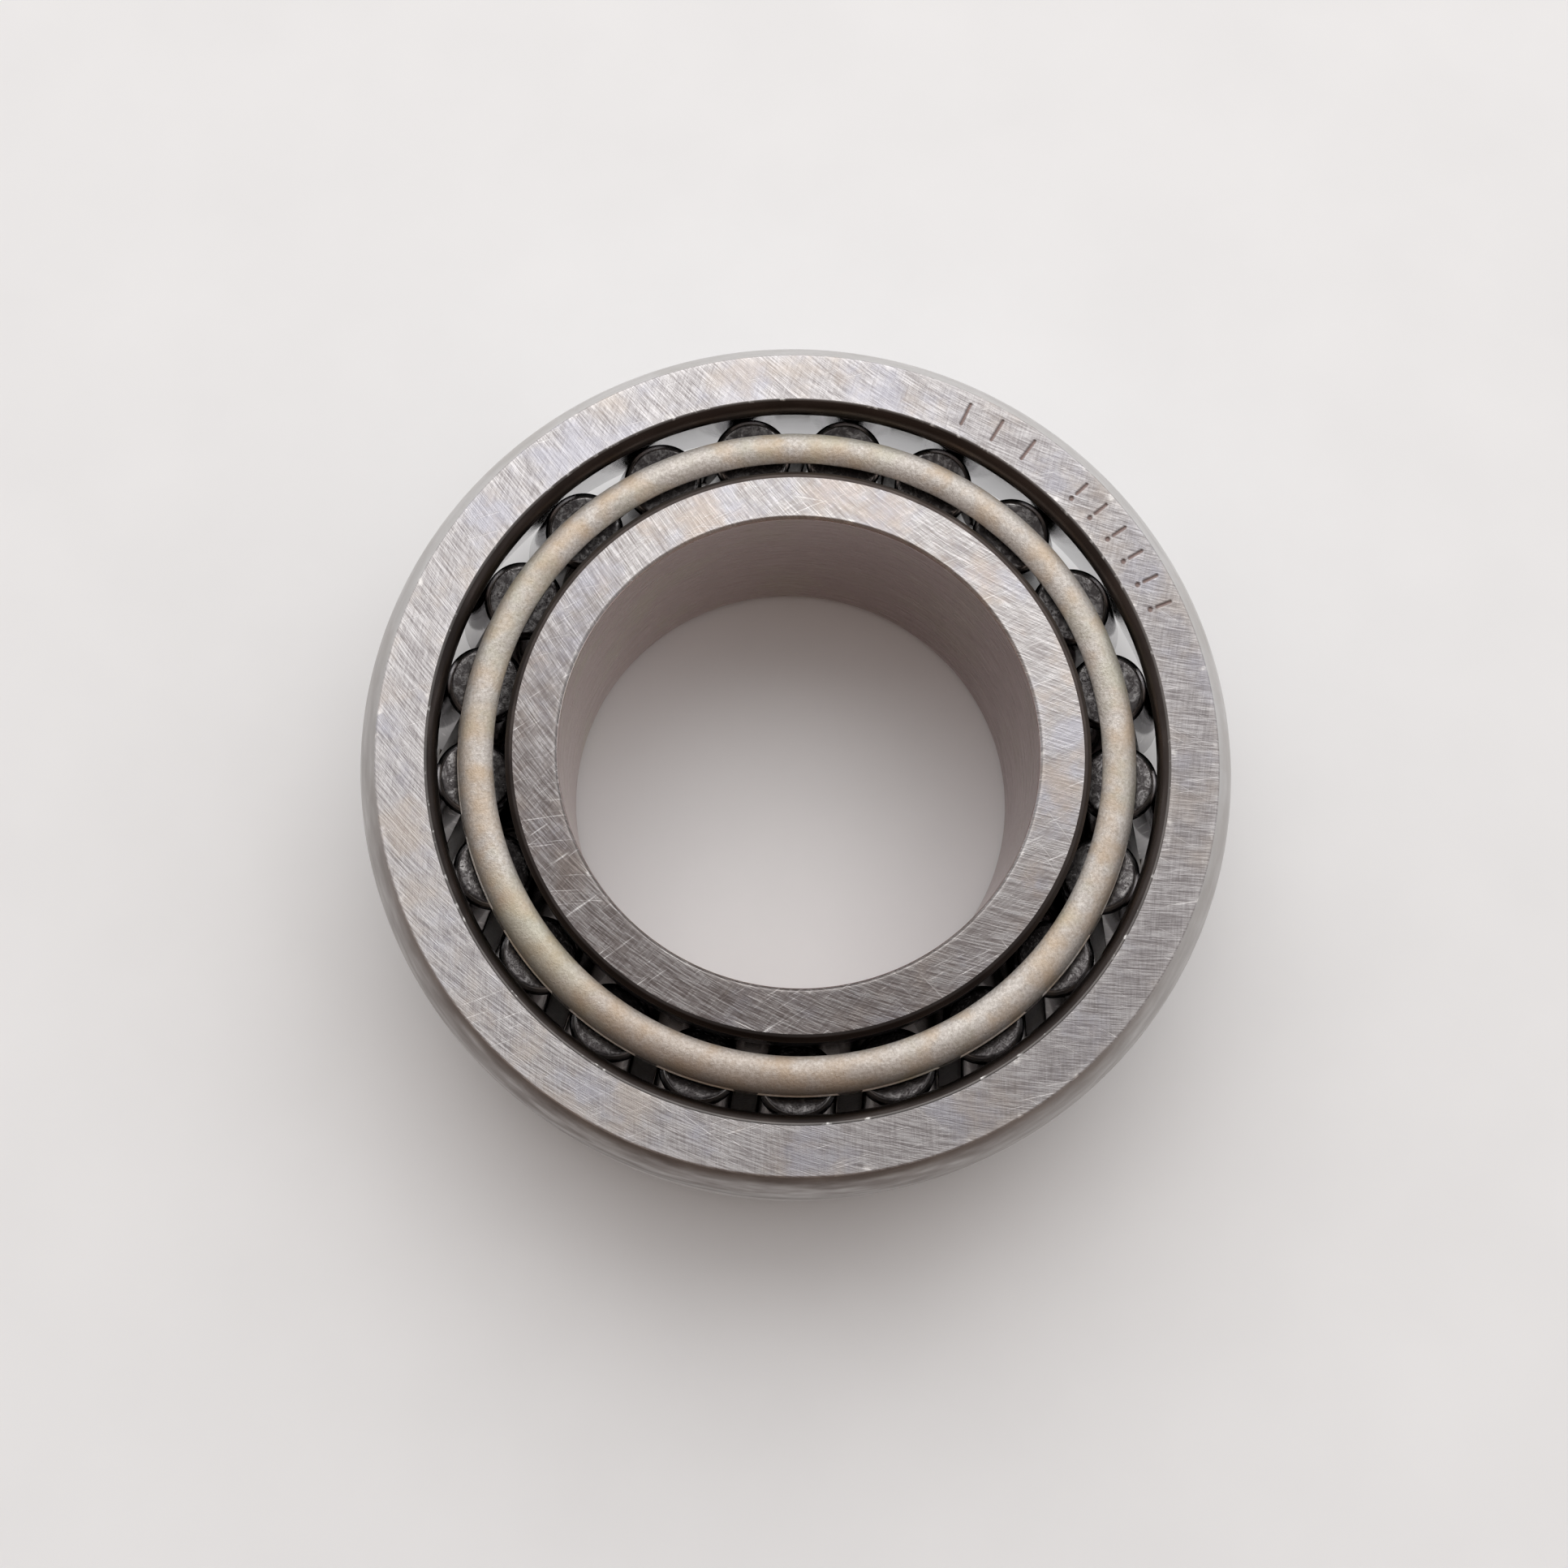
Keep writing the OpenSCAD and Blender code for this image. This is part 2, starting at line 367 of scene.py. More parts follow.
# Stains of old oil film: large soft patches, one cool and one warm, read at two places far apart.
oil_stain, given, result = new_group(
    "oil_stain",
    [("Place", "NodeSocketVector"), ("Size", "NodeSocketFloat")],
    [("Cool", "NodeSocketFloat"), ("Warm", "NodeSocketFloat")],
)
per_size = calculated(oil_stain, "DIVIDE", 1.0, given["Size"])
for label, shift in (("Cool", (3.0, 8.0, 1.0)), ("Warm", (17.0, 2.0, 5.0))):
    patch = noise_at(oil_stain, combined(oil_stain, "ADD", given["Place"], shift), per_size, 4.0, 0.6)
    oil_stain.links.new(in_range(oil_stain, patch, 0.48, 0.68, easing="SMOOTHSTEP"), result[label])

# Bright rubbed edges with small nicks: the piece's own edge value, broken up by noise.
rubbed_edge, given, result = new_group(
    "rubbed_edge",
    [("Place", "NodeSocketVector"), ("Edge", "NodeSocketFloat"), ("Nick size", "NodeSocketFloat")],
    [("Rubbed", "NodeSocketFloat")],
)
per_nick = calculated(rubbed_edge, "DIVIDE", 1.0, given["Nick size"])
broken = in_range(rubbed_edge, noise_at(rubbed_edge, given["Place"], per_nick, 3.0), 0.61, 0.73, 0.12)
rubbed_edge.links.new(calculated(rubbed_edge, "MULTIPLY", given["Edge"], broken), result["Rubbed"])


def mix_colours(tree, factor, first, second):
    """A mix of two colours by a mask: the first where it is 0, the second where it is 1."""
    node = add_node(tree, "ShaderNodeMix", data_type="RGBA")
    for socket, value in ((node.inputs[0], factor), (node.inputs[6], first), (node.inputs[7], second)):
        if isinstance(value, bpy.types.NodeSocket):
            tree.links.new(value, socket)
        else:
            socket.default_value = (*value, 1.0)
    return node.outputs[2]


def faded(tree, mask, strength):
    """A mask cut down to a strength."""
    return in_range(tree, mask, 0.0, 1.0, 0.0, strength)


def started_material(name, metallic):
    """A new material, its node tree, its shader and the piece's own place in millimetres."""
    material = bpy.data.materials.new(name)
    material.use_nodes = True
    tree = material.node_tree
    shader = tree.nodes["Principled BSDF"]
    shader.inputs["Metallic"].default_value = metallic
    place = scaled(tree, add_node(tree, "ShaderNodeTexCoord").outputs["Object"], 1 / MM)
    return material, tree, shader, place


def own_value(tree, name):
    """A value that the piece carries at each of its points."""
    return add_node(tree, "ShaderNodeAttribute", attribute_name=name).outputs["Fac"]


def rubbed(tree, place, nick_size):
    """Where the piece's edges are rubbed bright."""
    values = {"Place": place, "Edge": own_value(tree, "edge"), "Nick size": nick_size}
    return use_group(tree, rubbed_edge, values)["Rubbed"]


def finish_with(tree, shader, colour, roughness, height, depth, strength=1.0):
    """Links a finish's colour, roughness and height to its shader.  depth is in millimetres."""
    tree.links.new(colour, shader.inputs["Base Color"])
    tree.links.new(roughness, shader.inputs["Roughness"])
    bump = add_node(
        tree, "ShaderNodeBump", {"Height": height, "Distance": depth * MM, "Strength": strength}
    )
    tree.links.new(bump.outputs["Normal"], shader.inputs["Normal"])


# Painted shade towards one side of a part: how far noise sways its border, and how much of it the tops of
# the wheel lines keep.
side_shade_sway = 7.0
side_shade_on_tops = 0.55


def shaded_towards_side(tree, place, side_shade, noise, lines, colour):
    """Painted shade over a finish, darker towards one side.  side_shade is that side, where the shade
    starts and is full along it in millimetres, its strength and its colour.  It deepens in proportion
    to the way along that side.  Noise sways its border, and the tops of the wheel lines stand out of it."""
    side, start, end, strength, side_shade_colour = side_shade
    swayed = calculated(tree, "MULTIPLY_ADD", noise, side_shade_sway, combined(tree, "DOT_PRODUCT", place, side))
    shade_amount = in_range(tree, swayed, start + side_shade_sway / 2, end + side_shade_sway / 2, 0.0, strength)
    shade_left = calculated(tree, "MULTIPLY", shade_amount, in_range(tree, lines, 0.0, 1.0, 1.0, side_shade_on_tops))
    return mix_colours(tree, shade_left, colour, side_shade_colour)


# The marks of the surface grinder, as lines a millimetre across the lay and along it.
fine_lines = (9.0, 0.5)
coarse_lines = (2.6, 0.22)
crossed_lines = (7.5, 0.55)
long_scratches = (5.5, 0.13)
short_scratches = (5.0, 0.16)
bare_scratch = (0.80, 0.78, 0.77)
bare_face_edge = (0.85, 0.82, 0.79)
bare_round_edge = (0.80, 0.78, 0.76)
stamped_dark = (0.17, 0.125, 0.115)


def ground_face(name, bright, dark, cool, warm, scratch, lays, side_shade, smooth, stamped):
    """A face off the surface grinder: two crossed sets of wheel lines, long scratches and old stains,
    with painted shade towards one side.  lays are the turn and bend of the main lines, of the
    crossed lines and of two sets of scratches."""
    material, tree, shader, place = started_material(name, 1.0)

    def lines_of(lay, spacing):
        """One set of lines: the shared effect, turned the other way to bring its lay along x."""
        turn, bend = lays[lay]
        across, along = spacing
        values = {"Place": place, "Turn": -np.radians(turn), "Bend": bend, "Across": across, "Along": along}
        return use_group(tree, wheel_lines, values)["Lines"]

    coarse = lines_of(0, coarse_lines)
    stray = calculated(tree, "MAXIMUM", lines_of(2, long_scratches), lines_of(3, short_scratches))
    lines = calculated(tree, "MULTIPLY_ADD", coarse, 0.45, lines_of(0, fine_lines))
    lines = calculated(tree, "MULTIPLY_ADD", lines_of(1, crossed_lines), 0.4, lines)
    lines = in_range(tree, lines, 0.78, 1.07)
    scratches = in_range(tree, stray, 0.61, 0.70)
    stain = use_group(tree, oil_stain, {"Place": place, "Size": 4.0})
    colour = mix_colours(tree, lines, dark, bright)
    colour = mix_colours(tree, faded(tree, stain["Cool"], 0.55), colour, cool)
    colour = mix_colours(tree, faded(tree, stain["Warm"], 0.55), colour, warm)
    colour = shaded_towards_side(tree, place, side_shade, coarse, lines, colour)
    colour = mix_colours(tree, faded(tree, scratches, scratch), colour, bare_scratch)
    colour = mix_colours(tree, faded(tree, rubbed(tree, place, 0.9), 0.7), colour, bare_face_edge)
    if stamped:
        colour = mix_colours(tree, own_value(tree, "stamped"), colour, stamped_dark)
    roughness = in_range(tree, lines, 0.0, 1.0, smooth + 0.12, smooth)
    height = calculated(tree, "MULTIPLY_ADD", scratches, -0.8, lines)
    finish_with(tree, shader, colour, roughness, height, 0.008, 0.9)
    return material


ring_breaks_per_mm = 0.35


def ground_round(name, bright, dark, lines_per_mm, smooth, rough, tint=None, side_shade=None):
    """A cylinder or cone off a grinding or honing wheel: fine rings round the axis, a little uneven, with
    painted shade towards one side where side_shade is given.
    """
    material, tree, shader, place = started_material(name, 1.0)
    squashed = combined(tree, "MULTIPLY", place, (ring_breaks_per_mm, ring_breaks_per_mm, lines_per_mm))
    rings = in_range(tree, noise_at(tree, squashed, 1.0, 4.0), 0.3, 0.7)
    stain = use_group(tree, oil_stain, {"Place": place, "Size": 5.0})
    colour = mix_colours(tree, rings, dark, bright)
    colour = mix_colours(tree, faded(tree, stain["Warm"], 0.5), colour, tint or dark)
    if side_shade:
        colour = shaded_towards_side(tree, place, side_shade, rings, rings, colour)
    colour = mix_colours(tree, faded(tree, rubbed(tree, place, 0.7), 0.6), colour, bare_round_edge)
    finish_with(tree, shader, colour, in_range(tree, rings, 0.0, 1.0, rough, smooth), rings, 0.0012, 0.6)
    return material


cone_face_steel = ground_face(
    "cone_face_steel",
    bright=(0.55, 0.53, 0.525),
    dark=(0.27, 0.245, 0.24),
    cool=(0.42, 0.42, 0.48),
    warm=(0.45, 0.37, 0.31),
    scratch=0.6,
    lays=[(-35.0, -0.012), (40.0, 0.006), (-20.0, 0.02), (28.0, 0.004)],
    # Painted shade, darker towards the near side of the face and a little to the left.
    side_shade=((-0.45, -0.89, 0.0), -10.0, 11.0, 0.95, (0.095, 0.078, 0.074)),
    smooth=0.24,
    stamped=False,
)
bore_steel = ground_round(
    "bore_steel",
    bright=(0.70, 0.61, 0.59),
    dark=(0.52, 0.43, 0.41),
    lines_per_mm=9.0,
    smooth=0.22,
    rough=0.32,
    tint=(0.60, 0.58, 0.46),
    # Painted shade on the bore, darker towards the right and a little to the far side.
    side_shade=((0.9, 0.4, 0.0), -8.0, 12.0, 0.85, (0.30, 0.225, 0.225)),
)
raceway_steel = ground_round(
    "raceway_steel",
    bright=(0.42, 0.415, 0.43),
    dark=(0.31, 0.30, 0.31),
    lines_per_mm=14.0,
    smooth=0.07,
    rough=0.13,
)
# Furnace-dark steel for the small rib and the cup's mouth, made near black as painted shade in the gaps on
# either side of the cage, with more painted shade towards the near side.
furnace_dark_and_painted_shade_steel = ground_round(
    "furnace_dark_and_painted_shade_steel",
    bright=(0.09, 0.074, 0.067),
    dark=(0.05, 0.04, 0.036),
    lines_per_mm=3.0,
    smooth=0.24,
    rough=0.34,
    tint=(0.035, 0.03, 0.028),
    side_shade=((-0.55, -0.83, 0.0), -24.0, 4.0, 0.9, (0.022, 0.018, 0.017)),
)

back_round = 1.3
front_bevel = 0.2
large_rib_round = 0.5
small_rib_bevel = 0.3
face_stone = 0.05
rib_stone = 0.08
rib_rim_stone = 0.06
cone_step = 0.75
small_s, large_s = -small_rib_gap, roller_length + rib_gap
small_corner = by_roller(small_s, -roller_radius(small_s) - running_gap)
large_corner = by_roller(large_s, -roller_radius(large_s) - running_gap)
small_rib_foot = by_roller(small_s, out_to(small_rib_radius, small_s))
large_rib_top = by_roller(large_s, out_to(large_rib_radius, large_s))
raceway_turn = np.degrees(np.arctan2(*(small_corner - large_corner)[::-1]))
off_turn = np.degrees(axis_angle)
large_groove = arc(large_corner, groove_radius, off_turn, raceway_turn - 360, 18)
small_groove = arc(small_corner, groove_radius, raceway_turn - 180, off_turn - 360, 18)
rib_side = [small_rib_radius, width - small_rib_bevel]
rib_bevel_foot = [small_rib_radius - small_rib_bevel, width]
bevel_top, bevel_foot = [bore_radius + front_bevel, width], [bore_radius, width - front_bevel]
back_face = [[bore_radius + back_round + 0.1, 0], [large_rib_radius - large_rib_round - 0.1, 0]]
rib_round_centre = [large_rib_radius - large_rib_round, large_rib_round]
# A finish's number is its place in the piece's list of materials.
FACE, ROUND, TRACK, DARK = 0, 1, 2, 3
cone_section, cone_finish, cone_edge = joined(
    [
        (arc([bore_radius + back_round, back_round], back_round, 180, 270, 14), ROUND, 0),
        (np.array(back_face), FACE, 0),
        (arc(rib_round_centre, large_rib_round, 270, 360, 9), ROUND, 0),
        (corner([large_rib_radius, large_rib_round], large_rib_top, large_corner, rib_stone), ROUND, 1),
        (large_groove[:-1], ROUND, 0),
        (large_groove[-1:], TRACK, 0),
        (small_groove, ROUND, 0),
        (corner(small_corner, small_rib_foot, rib_side, rib_stone), DARK, 0),
        (corner(small_rib_foot, rib_side, rib_bevel_foot, rib_rim_stone), DARK, 0),
        (corner(rib_side, rib_bevel_foot, bevel_top, face_stone)[:-1], DARK, 0),
        (np.linspace([small_rib_radius - 0.5, width], [bore_radius + 0.4, width], 6), FACE, 0),
        (corner([small_rib_radius, width], bevel_top, bevel_foot, face_stone), FACE, 1),
        (corner(bevel_top, bevel_foot, [bore_radius, 0], face_stone), ROUND, 1),
        (np.linspace([bore_radius, width - 0.4], [bore_radius, back_round + 0.2], 6), ROUND, 0),
    ]
)
cone_angles = np.radians(np.arange(0, 360, cone_step))
cone_grid = carried_round(cone_section, cone_angles)
squares, triangles = grid_faces(len(cone_angles), len(cone_section), closed=True)
inner_ring = make_piece(
    "inner_ring",
    cone_grid,
    squares,
    triangles,
    np.tile(cone_finish, len(cone_angles)),
    [cone_face_steel, bore_steel, raceway_steel, furnace_dark_and_painted_shade_steel],
    {"edge": np.tile(cone_edge, len(cone_angles))},
)
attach(inner_ring, "cone")
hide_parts("cone")

# ---------------------------------------------------------------------------------------------
# Tapered rollers, 21 of them.  Bearing steel, cold headed, ground and honed on the taper, with
# bevelled ends left from tumbling and a lathe mark in the large end.
# ---------------------------------------------------------------------------------------------
roller_count = 21
first_roller = 12.5
pitch_angle = 360.0 / roller_count
small_bevel = 0.35
large_bevel = 0.4
centre_mark = [[0.35, 0.16], [1.0, 0.02], [1.18, 0.0]]
centre_mark_depth = 0.22
roller_stone = 0.1
roller_end_stone = 0.12
roller_step = 4.0
pit_dark = (0.05, 0.045, 0.045)
end_dark, end_bright = (0.055, 0.05, 0.05), (0.27, 0.26, 0.255)
# Painted shade on the roller ends, darker on the rollers towards the near side.
end_side_shade = ((0.0, -1.0, 0.0), 2.0, 20.0, 0.93, (0.025, 0.022, 0.022))

roller_side_steel = ground_round(
    "roller_side_steel",
    bright=(0.24, 0.235, 0.24),
    dark=(0.17, 0.165, 0.17),
    lines_per_mm=9.0,
    smooth=0.07,
    rough=0.13,
)
roller_bevel_steel = ground_round(
    "roller_bevel_steel",
    bright=(0.78, 0.77, 0.765),
    dark=(0.60, 0.585, 0.58),
    lines_per_mm=3.0,
    smooth=0.16,
    rough=0.26,
    # Painted shade, darker on the rollers towards the near side.
    side_shade=((0.0, -1.0, 0.0), 4.0, 20.0, 0.9, (0.06, 0.055, 0.055)),
)

# The ends: swirls left by tumbling, small pits that the wheel never reached, and painted shade on the
# rollers towards the near side.
roller_end_steel, tree, shader, place = started_material("roller_end_steel", 1.0)
swirl = noise_at(tree, place, 1.6, 5.0, 0.7, twist=1.2)
pits = in_range(tree, noise_at(tree, place, 4.5, 3.0, twist=2.0), 0.34, 0.44)
colour = mix_colours(tree, in_range(tree, swirl, 0.45, 0.68), end_dark, end_bright)
colour = mix_colours(tree, pits, pit_dark, colour)
colour = shaded_towards_side(tree, place, end_side_shade, swirl, swirl, colour)
finish_with(tree, shader, colour, in_range(tree, swirl, 0.3, 0.7, 0.27, 0.15), pits, 0.01, 0.7)

small_radius, large_radius = roller_radius(0.0), roller_radius(roller_length)
large_end_rim = [large_radius - large_bevel, -roller_length]
large_side_rim = [roller_radius(roller_length - large_bevel), large_bevel - roller_length]
small_side_rim = [roller_radius(small_bevel), -small_bevel]
small_end_rim = [small_radius - small_bevel, 0]
END, SIDE, BEVEL = 0, 1, 2
side_to_bevel = corner([large_radius, -roller_length], small_side_rim, small_end_rim, roller_stone)
bevel_to_end = corner(small_side_rim, small_end_rim, [0, 0], roller_end_stone)
roller_section, roller_finish, roller_edge = joined(
    [
        (np.array(centre_mark) - [0, roller_length], END, 0),
        (corner([0, -roller_length], large_end_rim, large_side_rim, roller_end_stone), END, 0),
        (corner(large_end_rim, large_side_rim, [small_radius, 0], roller_stone), SIDE, 1),
        (side_to_bevel[:-1], SIDE, 1),
        (side_to_bevel[-1:], BEVEL, 0),
        (bevel_to_end[:2], BEVEL, 0),
        (bevel_to_end[2:], END, 0),
        (np.array([[1.6, 0.0], [0.9, 0.0], [0.3, 0.0]]), END, 0),
    ]
)
roller_turns = np.radians(np.arange(0, 360, roller_step))
roller_grid = carried_round(roller_section, roller_turns).reshape(-1, 3)
roller_poles = np.array([[0, 0, centre_mark_depth - roller_length], [0, 0, 0]], float)
roller_points = np.vstack([roller_grid, roller_poles])
squares, triangles = grid_faces(len(roller_turns), len(roller_section), closed=False)
roller_finishes = np.concatenate(
    [np.tile(roller_finish[:-1], len(roller_turns)), np.full(len(triangles), END)]
)
roller_edges = np.concatenate([np.tile(roller_edge, len(roller_turns)), [0, 0]])


def stood_on_axis(points, turn):
    """Puts what is drawn along Z on a roller's tilted axis, small end up, then turns it about Z.
    X goes out from the axis, Y goes round it, and Z goes back towards the apex."""
    out, side, up = points.T
    start = by_roller(0.0, 0.0)
    radius = start[0] + out * off_roller[0] - up * along_roller[0]
    height = start[1] + out * off_roller[1] - up * along_roller[1]
    c, s = np.cos(turn), np.sin(turn)
    return np.stack([radius * c - side * s, radius * s + side * c, height], axis=1)


for number in range(roller_count):
    node_name = f"roller_{number + 1:02d}"
    roller = make_piece(
        f"tapered_{node_name}",
        stood_on_axis(roller_points, np.radians(first_roller + number * pitch_angle)),
        squares,
        triangles,
        roller_finishes,
        [roller_end_steel, roller_side_steel, roller_bevel_steel],
        {"edge": roller_edges},
    )
    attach(roller, node_name)
    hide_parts(node_name)

# ---------------------------------------------------------------------------------------------
# Cage.  One cup of mild steel sheet, drawn, pierced with a pocket for each roller and curled over
# at the small end, then tumbled until it has a fine matt grain.
# ---------------------------------------------------------------------------------------------
sheet = 0.9
stand_off = 0.81
bead_radius = 1.29
bead_open = 38.0
bead_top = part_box("cage")[1].z / MM
pocket_gap = 0.12
pocket_end_gap = 0.25
end_ring = 1.5
bead_stone = 0.08
foot_stone = 0.1
bead_wear, foot_wear = 0.4, 0.6
cage_step = 0.8


def tumbled_sheet(name, metallic, pale, deep, golden, green, side_shade, rough):
    """Tumbled sheet steel: a fine sandy grain with golden and greenish clouds of oil on it, and painted
    shade towards one side.
    """
    material, tree, shader, place = started_material(name, metallic)
    grain = noise_at(tree, place, 5.0, 4.0, 0.75)
    cloud = noise_at(tree, place, 0.5, 5.0)
    stain = use_group(tree, oil_stain, {"Place": place, "Size": 7.0})
    colour = mix_colours(tree, in_range(tree, grain, 0.32, 0.68), deep, pale)
    colour = mix_colours(tree, in_range(tree, cloud, 0.44, 0.66, 0.0, 0.6), colour, golden)
    colour = mix_colours(tree, faded(tree, stain["Cool"], 0.4), colour, green)
    colour = shaded_towards_side(tree, place, side_shade, cloud, grain, colour)
    colour = mix_colours(tree, rubbed(tree, place, 0.8), colour, pale)
    finish_with(tree, shader, colour, in_range(tree, grain, 0.3, 0.7, rough + 0.1, rough), grain, 0.045)
    return material


bead_steel = tumbled_sheet(
    "bead_steel",
    metallic=0.6,
    pale=(0.72, 0.68, 0.64),
    deep=(0.42, 0.375, 0.335),
    golden=(0.54, 0.40, 0.26),
    green=(0.46, 0.46, 0.31),
    # Painted shade, darker and browner towards the near side of the bead.
    side_shade=((-0.3, -0.95, 0.0), 14.0, 23.0, 0.8, (0.36, 0.265, 0.19)),
    rough=0.46,
)
# The wall and bars below the bead: the same sheet as the bead, painted near black as the shade under the
# bead and between the rollers, and darker still towards the near side.
painted_shade_cage_wall_steel = tumbled_sheet(
    "painted_shade_cage_wall_steel",
    metallic=1.0,
    pale=(0.17, 0.16, 0.15),
    deep=(0.09, 0.08, 0.075),
    golden=(0.13, 0.10, 0.07),
    green=(0.11, 0.11, 0.095),
    side_shade=((0.0, -1.0, 0.0), 0.0, 20.0, 0.8, (0.04, 0.035, 0.033)),
    rough=0.36,
)

wall_out, wall_in = stand_off + sheet / 2, stand_off - sheet / 2
bead_w = wall_out - bead_radius
bead_s = (roller_top + bead_w * np.sin(axis_angle) - bead_top + bead_radius) / np.cos(axis_angle)
bead = by_roller(bead_s, bead_w)
top_ring_end = -pocket_end_gap
pockets_end = roller_length + pocket_end_gap
wall_end = pockets_end + end_ring
tip_turn = 180 - bead_open
tip_way = arc([0, 0], 1.0, tip_turn, tip_turn, 1)[0]
tip_out, tip_in = bead + bead_radius * tip_way, bead + (bead_radius - sheet) * tip_way
bead_arc = arc(bead, bead_radius, off_turn, tip_turn - 7, 30)
inside_arc = arc(bead, bead_radius - sheet, tip_turn - 24, off_turn, 14)
ring_in, ring_out = by_roller(top_ring_end, wall_in), by_roller(top_ring_end, wall_out)
BEAD, WALL = 0, 1
bead_section, bead_finish, bead_edge = joined(
    [
        (corner(ring_in, ring_out, bead, bead_stone), BEAD, 1),
        (bead_arc, BEAD, 0),
        (corner(bead_arc[-1], tip_out, tip_in, bead_stone), BEAD, 1),
        (corner(tip_out, tip_in, inside_arc[0], bead_stone), BEAD, 1),
        (inside_arc, BEAD, 0),
        (corner(bead, ring_in, ring_out, bead_stone), BEAD, 1),
    ]
)
foot_corners = [
    by_roller(wall_end, wall_in),
    by_roller(wall_end, wall_out),
    by_roller(pockets_end, wall_out),
    by_roller(pockets_end, wall_in),
]
around_foot = zip(foot_corners[-1:] + foot_corners[:-1], foot_corners, foot_corners[1:] + foot_corners[:1])
foot_section, foot_finish, foot_edge = joined(
    [(corner(before, at, after, foot_stone), WALL, 1) for before, at, after in around_foot]
)


first_guess = 0.12
guesses = 12


def pocket_edge(s, w):
    """Angle from a roller's middle plane to its pocket's side, at s and w on the cage's wall.
    The point turns about the bearing's axis until it is the pocket's radius from the roller's axis.
    Each guess takes the side's distance from the plane as the root of the pocket's radius squared
    less w squared.  The angle's sine is that distance over the point's radius."""
    point = by_roller(s, w)
    start = by_roller(0.0, 0.0)
    turn = np.full(np.shape(point)[:-1], first_guess)
    for _ in range(guesses):
        x = point[..., 0] * np.cos(turn) - start[0]
        z = point[..., 1] - start[1]
        s_now = x * along_roller[0] + z * along_roller[1]
        w_now = x * off_roller[0] + z * off_roller[1]
        side = np.sqrt((roller_radius(s_now) + pocket_gap) ** 2 - w_now**2)
        turn = np.arcsin(side / point[..., 0])
    return turn


# The bars between the pockets.  A bar's section is a square with rounded edges: the way out to its
# rim is half over the eighth root of cosine to the eighth plus sine to the eighth.
bar_overlap = 0.1
bar_steps, rim_steps = 30, 24
squareness = 8
bar_s = np.linspace(top_ring_end - bar_overlap, pockets_end + bar_overlap, bar_steps)
square_turn = np.linspace(0, 2 * np.pi, rim_steps, endpoint=False) + np.pi / rim_steps
powers = np.abs(np.cos(square_turn)) ** squareness + np.abs(np.sin(square_turn)) ** squareness
reach = 0.5 / powers ** (1 / squareness)
bar_u = 0.5 + reach * np.cos(square_turn)
bar_v = 0.5 + reach * np.sin(square_turn)
edge_in = pocket_edge(bar_s, wall_in)[None, :]
edge_out = pocket_edge(bar_s, wall_out)[None, :]
edge_at = edge_in + (edge_out - edge_in) * bar_v[:, None]
bar_turn = edge_at + (np.radians(pitch_angle) - 2 * edge_at) * (1 - bar_u[:, None])
bar_place = by_roller(bar_s[None, :], wall_in + sheet * bar_v[:, None])
bar_grid = np.stack(
    [bar_place[..., 0] * np.cos(bar_turn), bar_place[..., 0] * np.sin(bar_turn), bar_place[..., 1]], axis=-1
)
bar_points = np.vstack([bar_grid.reshape(-1, 3), bar_grid[:, 0].mean(axis=0), bar_grid[:, -1].mean(axis=0)])
bar_turns = np.radians(first_roller + pitch_angle * np.arange(roller_count))
c, s = np.cos(bar_turns)[:, None], np.sin(bar_turns)[:, None]
all_bars = np.stack(
    [
        bar_points[None, :, 0] * c - bar_points[None, :, 1] * s,
        bar_points[None, :, 0] * s + bar_points[None, :, 1] * c,
        np.broadcast_to(bar_points[None, :, 2], (roller_count, len(bar_points))),
    ],
    axis=-1,
)

cage_angles = np.radians(np.arange(0, 360, cage_step))
bead_grid = carried_round(bead_section, cage_angles)
# Small dents: three waves that run round the cage and slant across the bead.  They are let down
# by the most that they can add up to, so that nothing stands above the bead's own top.
round_cage = cage_angles[:, None]
along_bead = np.linspace(0, 2 * np.pi, len(bead_section))[None, :]
most_dent = 0.028
dents = (
    0.012 * np.sin(23 * round_cage + 2 * along_bead)
    + 0.010 * np.sin(41 * round_cage + 1.3 + along_bead)
    + 0.006 * np.sin(67 * round_cage - 2 * along_bead)
)
bead_grid[..., 2] -= most_dent + dents
foot_grid = carried_round(foot_section, cage_angles)
bead_squares, _ = grid_faces(len(cage_angles), len(bead_section), closed=True)
foot_squares, _ = grid_faces(len(cage_angles), len(foot_section), closed=True)
bar_squares, bar_caps = grid_faces(len(bar_u), len(bar_s), closed=False)
bead_count, foot_count = bead_grid[..., 0].size, foot_grid[..., 0].size
bar_firsts = (bead_count + foot_count + np.arange(roller_count) * len(bar_points))[:, None, None]
all_bar_squares = (bar_squares[None] + bar_firsts).reshape(-1, 4)
squares = np.vstack([bead_squares, foot_squares + bead_count, all_bar_squares])
triangles = (bar_caps[None] + bar_firsts).reshape(-1, 3)
turns = len(cage_angles)
cage_piece = make_piece(
    "pressed_cage",
    np.vstack([bead_grid.reshape(-1, 3), foot_grid.reshape(-1, 3), all_bars.reshape(-1, 3)]),
    squares,
    triangles,
    np.concatenate(
        [
            np.tile(bead_finish, turns),
            np.tile(foot_finish, turns),
            np.full(len(all_bar_squares) + len(triangles), WALL),
        ]
    ),
    [bead_steel, painted_shade_cage_wall_steel],
    {
        "edge": np.concatenate(
            [
                np.tile(bead_edge, turns) * bead_wear,
                np.tile(foot_edge, turns) * foot_wear,
                np.zeros(all_bars[..., 0].size),
            ]
        )
    },
)
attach(cage_piece, "cage")
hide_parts("cage")

